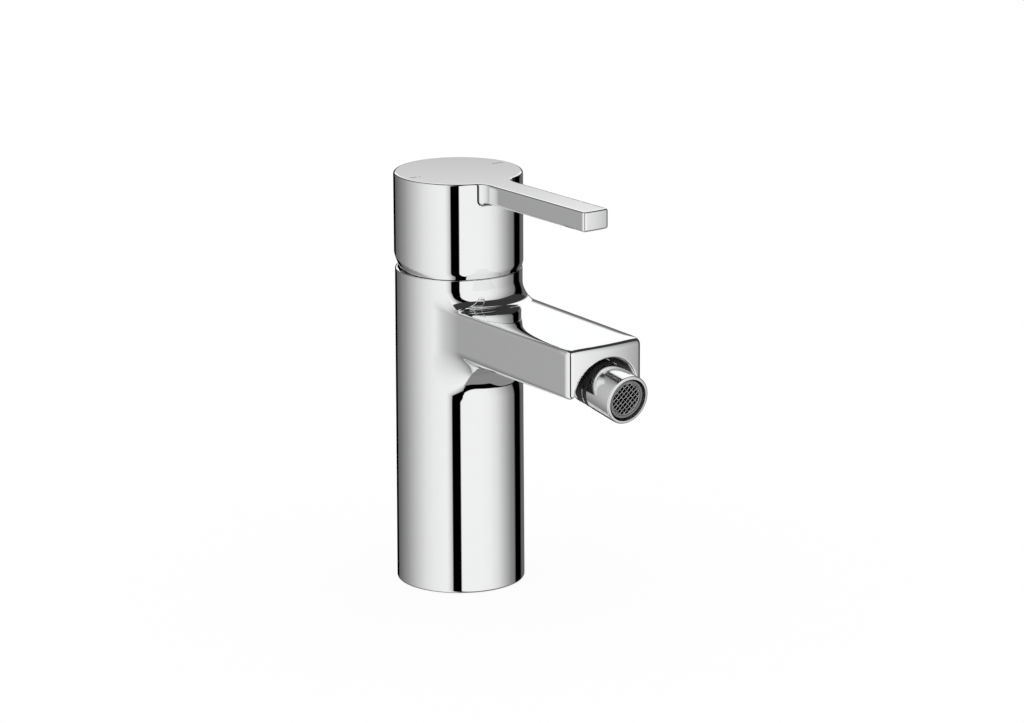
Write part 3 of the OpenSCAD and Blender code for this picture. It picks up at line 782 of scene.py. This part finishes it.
def photo_camera():
    """Camera at the photograph's viewing angle; returns its turn about the upright axis."""
    turn = math.radians(-36.796)
    rise = math.radians(14.88)
    roll = math.radians(-0.252)
    away = 1649.7
    aim = Vector((15.03, -11.25, 79.63))
    sensor_w = 36.0
    picture_w = 1024
    focal_px = 4613.9
    sight_end = 20000.0
    back = Vector((math.sin(turn) * math.cos(rise), -math.cos(turn) * math.cos(rise), math.sin(rise)))
    right = Vector((math.cos(turn), math.sin(turn), 0))
    up = back.cross(right)
    right, up = right * math.cos(roll) + up * math.sin(roll), up * math.cos(roll) - right * math.sin(roll)
    data = bpy.data.cameras.new("camera")
    data.sensor_fit = "HORIZONTAL"
    data.sensor_width = sensor_w
    data.lens = focal_px * sensor_w / picture_w
    data.clip_end = sight_end * MM
    camera = bpy.data.objects.new("camera", data)
    camera.matrix_world = place_of(right, up, back, (aim + back * away) * MM)
    bpy.context.scene.collection.objects.link(camera)
    bpy.context.scene.camera = camera
    return turn


# Finishes

chrome_light = (0.885, 0.888, 0.892)
chrome_dark = (0.876, 0.879, 0.883)
chrome_rough = 0.012
chrome_spread = 0.02
chrome_grain = 180.0


def grain_of(graph, scale):
    """Coordinates of the piece, and a fine noise on them."""
    place = graph.node("ShaderNodeTexCoord", output="Object")
    noise = graph.node("ShaderNodeTexNoise", {"noise_dimensions": "3D"},
                       {"Vector": place, "Scale": scale, "Detail": 3.0})
    return place, noise


def drift(noise, dark, light):
    """Colour that drifts between two shades with a noise."""
    dark_to, light_from = 0.3, 0.7
    return noise.ramp([(dark_to, dark), (light_from, light)])


def finish_of(name, colour, metallic, roughness, spread, grain, coat=0.0, bump=0.0, tint=0.06):
    """Finish whose colour and roughness drift with a fine noise; bump gives the surface its grain."""
    bump_depth = 0.2
    material, graph = new_material(name)
    noise = grain_of(graph, grain)[1]
    tone = drift(noise, tuple(channel * (1 - tint) for channel in colour), colour)
    inputs = {"Base Color": tone, "Metallic": metallic, "Roughness": noise * spread + roughness,
              "Coat Weight": coat}
    if bump:
        inputs["Normal"] = graph.node("ShaderNodeBump", inputs={
            "Strength": bump, "Distance": bump_depth * MM, "Height": noise})
    shader = graph.node("ShaderNodeBsdfPrincipled", inputs=inputs)
    graph.node("ShaderNodeOutputMaterial", inputs={"Surface": shader})
    return material


def chrome_with_painted_recess_shade(name):
    """Mirror chrome that ends at the mouth of the nozzle's recess: inside it, painted shade makes the surface
    dark, rougher and less metallic.
    """
    # Colour, roughness and loss of metal of the painted shade inside the recess
    painted_shade_tone = (0.03, 0.03, 0.032, 1)
    painted_shade_rough = 0.3
    painted_shade_metal_drop = 0.7
    near, far = 0.1, 0.3
    material, graph = new_material(name)
    place, noise = grain_of(graph, chrome_grain)
    x = graph.node("ShaderNodeSeparateXYZ", inputs={0: place})
    y, z = x.other("Y"), x.other("Z") - recess_z * MM
    round_in = (x * x + z * z).maths("SQRT").fade((recess_r + far) * MM, (recess_r + near) * MM)
    deep_in = y.fade((recess_shade_from - spout_reach) * MM, (recess_shade_to - spout_reach) * MM)
    not_past = y.fade((recess_back + far - spout_reach) * MM, (recess_back + near - spout_reach) * MM)
    # Painted shade mask: inside the recess's round, deeper than its mouth and not past its back wall
    painted_recess_shade = round_in * deep_in * not_past
    shader = graph.node("ShaderNodeBsdfPrincipled", inputs={
        "Base Color": painted_recess_shade.mix_colour(drift(noise, chrome_dark, chrome_light), painted_shade_tone),
        "Metallic": 1 - painted_recess_shade * painted_shade_metal_drop,
        "Roughness": noise * chrome_spread + painted_recess_shade * painted_shade_rough + chrome_rough})
    graph.node("ShaderNodeOutputMaterial", inputs={"Surface": shader})
    return material


def hollow_plastic(name):
    """Grey plastic of the nozzle's insert, with painted shade: black in its bore, where the deep hole is
    dark.
    """
    painted_bore_shade, grey = (0.012, 0.012, 0.013, 1), (0.17, 0.172, 0.175, 1)
    wall_blend = 0.1
    grain = 1500.0
    tone_least, tone_spread = 0.95, 0.1
    rough_least, rough_spread = 0.42, 0.14
    material, graph = new_material(name)
    place, noise = grain_of(graph, grain)
    offset = graph.node("ShaderNodeVectorMath", {"operation": "SUBTRACT"}, {0: place, 1: tuple(ball * MM)})
    across = graph.node("ShaderNodeVectorMath", {"operation": "CROSS_PRODUCT"},
                        {0: offset, 1: tuple(nozzle_axis)})
    radius = graph.node("ShaderNodeVectorMath", {"operation": "LENGTH"}, {0: across}, "Value")
    outer = radius.fade(screen_free_r * MM, (screen_pocket_r - wall_blend) * MM)
    # Painted shade: inside the screen's free radius the bore is coloured black
    tone = (outer * (noise * tone_spread + tone_least)).mix_colour(painted_bore_shade, grey)
    shader = graph.node("ShaderNodeBsdfPrincipled", inputs={
        "Base Color": tone, "Roughness": noise * rough_spread + rough_least})
    graph.node("ShaderNodeOutputMaterial", inputs={"Surface": shader})
    return material


def dress(piece, material, body, slot, *nodes):
    """Gives a made piece its finish, its body and the solids that it stands for; the slot is not used."""
    piece.data.materials.clear()
    piece.data.materials.append(material)
    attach(piece, body)
    if nodes:
        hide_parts(*nodes)


def coat_node(node, material):
    """Gives a carried-over solid its finish."""
    for slot in frame["nodes"][node].material_slots:
        slot.material = material


chrome = finish_of("mirror_chrome", chrome_light, 1.0, chrome_rough, chrome_spread, chrome_grain, tint=0.01)
soft_chrome = finish_of("soft_chrome", chrome_light, 1.0, 0.12, chrome_spread, chrome_grain, tint=0.01)
brass = finish_of("turned_brass", (0.72, 0.52, 0.25), 1.0, 0.22, 0.15, 900.0, bump=0.08)
steel = finish_of("bright_steel", (0.62, 0.62, 0.63), 1.0, 0.18, 0.12, 700.0, bump=0.05)
ceramic = finish_of("ground_ceramic", (0.86, 0.86, 0.83), 0.0, 0.12, 0.1, 500.0, coat=0.3)
cartridge_plastic = finish_of("cartridge_plastic", (0.10, 0.105, 0.11), 0.0, 0.42, 0.16, 1200.0, bump=0.12)
seat_plastic = finish_of("seat_plastic", (0.80, 0.78, 0.70), 0.0, 0.34, 0.12, 900.0, bump=0.06)
aerator_plastic = hollow_plastic("aerator_plastic")
mark_paint = finish_of("mark_paint", (0.16, 0.16, 0.165), 0.0, 0.5, 0.1, 2500.0)
# Body chrome, with painted shade inside the nozzle's recess
body_chrome = chrome_with_painted_recess_shade("body_chrome")
rubber = finish_of("seal_rubber", (0.018, 0.018, 0.019), 0.0, 0.62, 0.18, 1400.0, bump=0.15)

coats = [
    (brass, ["cartridge_nut", "ball_stud", "seat_retainer"]),
    (steel, ["pivot_pin", "stem", "grub_screw"]),
    (ceramic, ["fixed_disc", "moving_disc"]),
    (cartridge_plastic, ["cartridge_base", "disc_carrier", "cartridge_casing", "stem_guide"]),
    (seat_plastic, ["ball_seat"]),
    (rubber, ["base_gasket", "inlet_seals", "disc_seal", "casing_ring", "stud_ring", "ball_seal",
              "aerator_washer"]),
    (chrome, ["screw_plug"]),
]
for material, nodes in coats:
    for node in nodes:
        coat_node(node, material)

# Pieces; the grids are fine where there are edges and fillets

cup_steps = 16
rim_steps = 6
edge_steps = 4

body_grid = (
    lines((-23.4, 0.6), 23.4),
    lines((-87.1, 0.35), (-83, 0.65), 23.4),
    lines((-0.4, 0.3), (2.0, 6.0), (48, 0.9), (52, 2.5), (77, 0.6), (85, 0.45), (92, 0.6), (100, 0.45),
          (106, 0.35), 115.35),
)
body = skin("chromed_body", body_distance, body_grid)
dress(body, body_chrome, "mixer_body", "chrome", "body")

handle_grid = (
    lines((0.6, 0.8), (3.2, 0.35), (4.2, 1.0), (7.6, 0.3), (8.4, 2.0), (18.4, 0.3), (19.2, 0.6), (22.4, 0.15),
          (23.3, 0.5), (28, 3.0), (77, 0.3), 80.6),
    lines((-72, 2.5), (78, 0.8), (102, 2.5), (252, 0.35), 287.65),
    lines((114.8, 0.25), (117.6, 0.7), (121, 2.0), (132, 0.4), (133.2, 1.0), (142, 0.3), (144, 0.4),
          (146, 0.7), (148.8, 0.12), 149.9),
)
handle = skin("chromed_handle", handle_distance, handle_grid, round_place, turns=True)
dress(handle, chrome, "handle", "chrome", "lever_handle")

groove_r = nozzle_r - groove_depth
band_r = nozzle_r - band_depth
profile = arc(0, 0, nozzle_r, cup_turn, 90, cup_steps)
for band_name, (start, end) in grooves.items():
    profile += [(start, nozzle_r), (start, groove_r), (end, groove_r), (end, nozzle_r)]
    start, end = start + band_gap, end - band_gap
    # Painted shade: a black rubber ring in each groove stands for the dark gap in the recess behind the
    # sleeve
    band = lathe(band_name, [
        (start, groove_r), *arc(start + band_depth, band_r - band_depth, band_depth, 180, 90, edge_steps),
        *arc(end - band_depth, band_r - band_depth, band_depth, 90, 0, edge_steps), (end, groove_r)])
    dress(band, rubber, "nozzle", "rubber")
sleeve = lathe("chromed_nozzle", [
    *profile, *arc(nozzle_front - nozzle_rim, nozzle_r - nozzle_rim, nozzle_rim, 90, 0, rim_steps),
    (nozzle_front, bore_r), (cup_end, bore_r), (cup_end, cup_r), *arc(0, 0, cup_r, 90, cup_turn, cup_steps)])
dress(sleeve, soft_chrome, "nozzle", "chrome", "nozzle_sleeve")

insert = lathe("aerator_insert", [
    (insert_z, insert_bore_r), (insert_z, insert_flange_r), (insert_z + insert_flange_h, insert_flange_r),
    (insert_z + insert_flange_h, insert_r),
    *arc(insert_front - insert_edge, insert_r - insert_edge, insert_edge, 90, 0, edge_steps),
    *arc(insert_front - insert_edge, screen_pocket_r + insert_edge, insert_edge, 0, -90, edge_steps),
    (screen_z, screen_pocket_r), (screen_z, insert_bore_r)])
dress(insert, aerator_plastic, "nozzle", "aerator_plastic", "aerator_housing")

screen = woven_screen("woven_screen", steel)
dress(screen, steel, "nozzle", "steel", "aerator_screen")

for mark_name, run in mark_runs.items():
    dress(inlay(mark_name, run), mark_paint, "handle", "aerator_plastic")

# Camera, light and view transform

studio_world(photo_camera())
studio_floor()
bpy.context.scene.view_settings.view_transform = "Standard"

bpy.context.view_layer.update()
